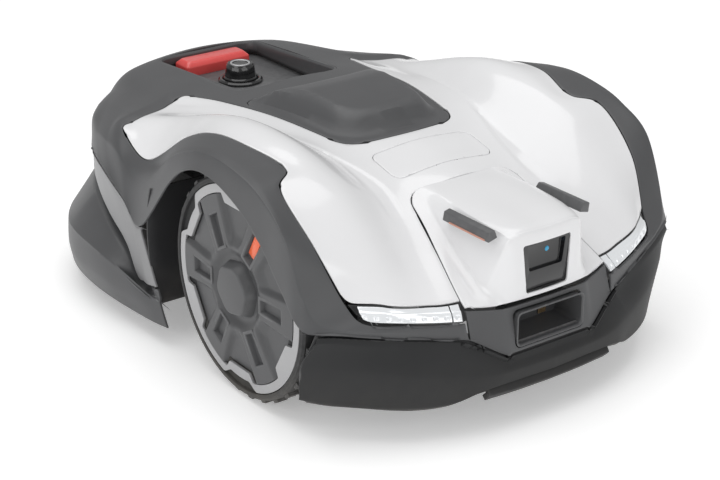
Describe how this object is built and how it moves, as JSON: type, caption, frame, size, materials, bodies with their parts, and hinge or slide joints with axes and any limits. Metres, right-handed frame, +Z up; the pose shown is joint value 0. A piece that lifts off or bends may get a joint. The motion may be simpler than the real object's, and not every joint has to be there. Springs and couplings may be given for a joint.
{
  "type": "robotic lawn mower",
  "caption": "Robotic lawn mower with large front drive wheels, rear casters, a floating cover with a sunk control deck, and a height-adjustable cutting disc.",
  "frame": {"origin": "middle of the footprint on the ground", "axes": "+X to the mower's left, +Y to its tail, +Z up; it drives towards -Y"},
  "size_m": [0.507, 0.685, 0.2625],
  "materials": {
    "white_gloss": "gloss white moulded plastic",
    "graphite": "satin graphite grey plastic",
    "dark_bumper": "dark soft-touch plastic",
    "belt_grey": "satin mid grey plastic",
    "tyre_rubber": "black rubber with lugs",
    "caster_rubber": "black rubber",
    "post_rubber": "black rubber",
    "silver_ring": "satin silver grey plastic",
    "orange_insert": "orange plastic",
    "stop_red": "satin red plastic",
    "black_gloss": "gloss black plastic",
    "knob_silver": "satin silver plastic",
    "lamp": "clear lamp over a bright reflector, lit",
    "steel": "machined steel",
    "chassis_black": "black moulded plastic",
    "contact_brass": "bare contact metal",
    "board_green": "green circuit board"
  },
  "bodies": {
    "chassis": {"chassis_tub": "chassis_black", "chassis_lid": "chassis_black", "battery_pack": "chassis_black", "control_board": "board_green", "gear_motor_left": "steel", "gear_motor_right": "steel", "cover_post_front_left": "post_rubber", "cover_post_front_right": "post_rubber", "cover_post_rear_left": "post_rubber", "cover_post_rear_right": "post_rubber"},
    "cover": {"deck_shell": "graphite", "hood_cover": "graphite", "top_cover": "white_gloss", "nose_panel": "white_gloss", "camera_window": "black_gloss", "nose_mask": "graphite", "charge_contact_left": "contact_brass", "charge_contact_right": "contact_brass", "front_bumper": "dark_bumper", "chin_insert": "dark_bumper", "belt_strip": "belt_grey", "rear_skirt": "graphite", "control_floor": "graphite", "cover_frame": "chassis_black", "fender_left": "graphite", "fender_right": "graphite", "headlight_left": "lamp", "headlight_right": "lamp", "sensor_block_left": "graphite", "sensor_block_right": "graphite"},
    "stop": {"stop_button": "stop_red"},
    "knob_plunger": {"knob_stem": "steel"},
    "knob": {"control_knob": "black_gloss", "knob_ring": "knob_silver"},
    "cutter_lift": {"cutter_carrier": "chassis_black", "cutting_motor": "steel"},
    "height_screw": {"height_spindle": "steel"},
    "blade_rotor": {"blade_disc": "graphite"},
    "skid": {"skid_plate": "dark_bumper"},
    "blade_arm_1": {"blade_1": "steel"},
    "blade_arm_2": {"blade_2": "steel"},
    "blade_arm_3": {"blade_3": "steel"},
    "wheel_left": {"tyre_left": "tyre_rubber", "rim_left": "graphite", "wheel_ring_left": "silver_ring", "wheel_cap_left": "graphite", "wheel_insert_left": "orange_insert", "centre_cap_left": "graphite", "drive_shaft_left": "steel"},
    "caster_left": {"caster_fork_left": "chassis_black"},
    "caster_roller_left": {"caster_wheel_left": "caster_rubber"},
    "wheel_right": {"tyre_right": "tyre_rubber", "rim_right": "graphite", "wheel_ring_right": "silver_ring", "wheel_cap_right": "graphite", "wheel_insert_right": "orange_insert", "centre_cap_right": "graphite", "drive_shaft_right": "steel"},
    "caster_right": {"caster_fork_right": "chassis_black"},
    "caster_roller_right": {"caster_wheel_right": "caster_rubber"}
  },
  "joints": [
    {"name": "cover_push", "type": "slide", "parent": "chassis", "child": "cover", "axis": [0, 1, 0], "range_m": [-0.003, 0.003], "stiffness_N_per_m": 4000},
    {"name": "stop_press", "type": "slide", "parent": "cover", "child": "stop", "axis": [0, 0, 1], "range_m": [-0.004, 0], "stiffness_N_per_m": 700},
    {"name": "knob_push", "type": "slide", "parent": "cover", "child": "knob_plunger", "axis": [0, 0, 1], "range_m": [-0.0015, 0], "stiffness_N_per_m": 1500},
    {"name": "knob_turn", "type": "hinge", "parent": "knob_plunger", "child": "knob", "pos_m": [0, 0.225, 0.21], "axis": [0, 0, 1], "continuous": true},
    {"name": "cutting_height", "type": "slide", "parent": "chassis", "child": "cutter_lift", "axis": [0, 0, 1], "range_m": [-0.02, 0.02]},
    {"name": "screw_turn", "type": "hinge", "parent": "chassis", "child": "height_screw", "pos_m": [0, -0.05, 0.13], "axis": [0, 0, 1], "range_deg": [-730, 730]},
    {"name": "disc_spin", "type": "hinge", "parent": "cutter_lift", "child": "blade_rotor", "pos_m": [0, 0.03, 0.045], "axis": [0, 0, 1], "continuous": true},
    {"name": "skid_spin", "type": "hinge", "parent": "blade_rotor", "child": "skid", "pos_m": [0, 0.03, 0.033], "axis": [0, 0, 1], "continuous": true},
    {"name": "blade_1_pivot", "type": "hinge", "parent": "blade_rotor", "child": "blade_arm_1", "pos_m": [0, 0.118, 0.0408], "axis": [0, 0, 1], "continuous": true},
    {"name": "blade_2_pivot", "type": "hinge", "parent": "blade_rotor", "child": "blade_arm_2", "pos_m": [-0.07621, -0.014, 0.0408], "axis": [0, 0, 1], "continuous": true},
    {"name": "blade_3_pivot", "type": "hinge", "parent": "blade_rotor", "child": "blade_arm_3", "pos_m": [0.07621, -0.014, 0.0408], "axis": [0, 0, 1], "continuous": true},
    {"name": "wheel_left_spin", "type": "hinge", "parent": "chassis", "child": "wheel_left", "pos_m": [0.2, -0.1225, 0.12], "axis": [1, 0, 0], "continuous": true},
    {"name": "caster_left_swivel", "type": "hinge", "parent": "chassis", "child": "caster_left", "pos_m": [0.15, 0.215, 0.1], "axis": [0, 0, 1], "continuous": true},
    {"name": "caster_left_roll", "type": "hinge", "parent": "caster_left", "child": "caster_roller_left", "pos_m": [0.15, 0.243, 0.04], "axis": [1, 0, 0], "continuous": true},
    {"name": "wheel_right_spin", "type": "hinge", "parent": "chassis", "child": "wheel_right", "pos_m": [-0.2, -0.1225, 0.12], "axis": [1, 0, 0], "continuous": true},
    {"name": "caster_right_swivel", "type": "hinge", "parent": "chassis", "child": "caster_right", "pos_m": [-0.15, 0.215, 0.1], "axis": [0, 0, 1], "continuous": true},
    {"name": "caster_right_roll", "type": "hinge", "parent": "caster_right", "child": "caster_roller_right", "pos_m": [-0.15, 0.243, 0.04], "axis": [1, 0, 0], "continuous": true}
  ],
  "couplings": [
    {"joint": "screw_turn", "follows": "cutting_height", "rad_per_m": 628.32}
  ]
}
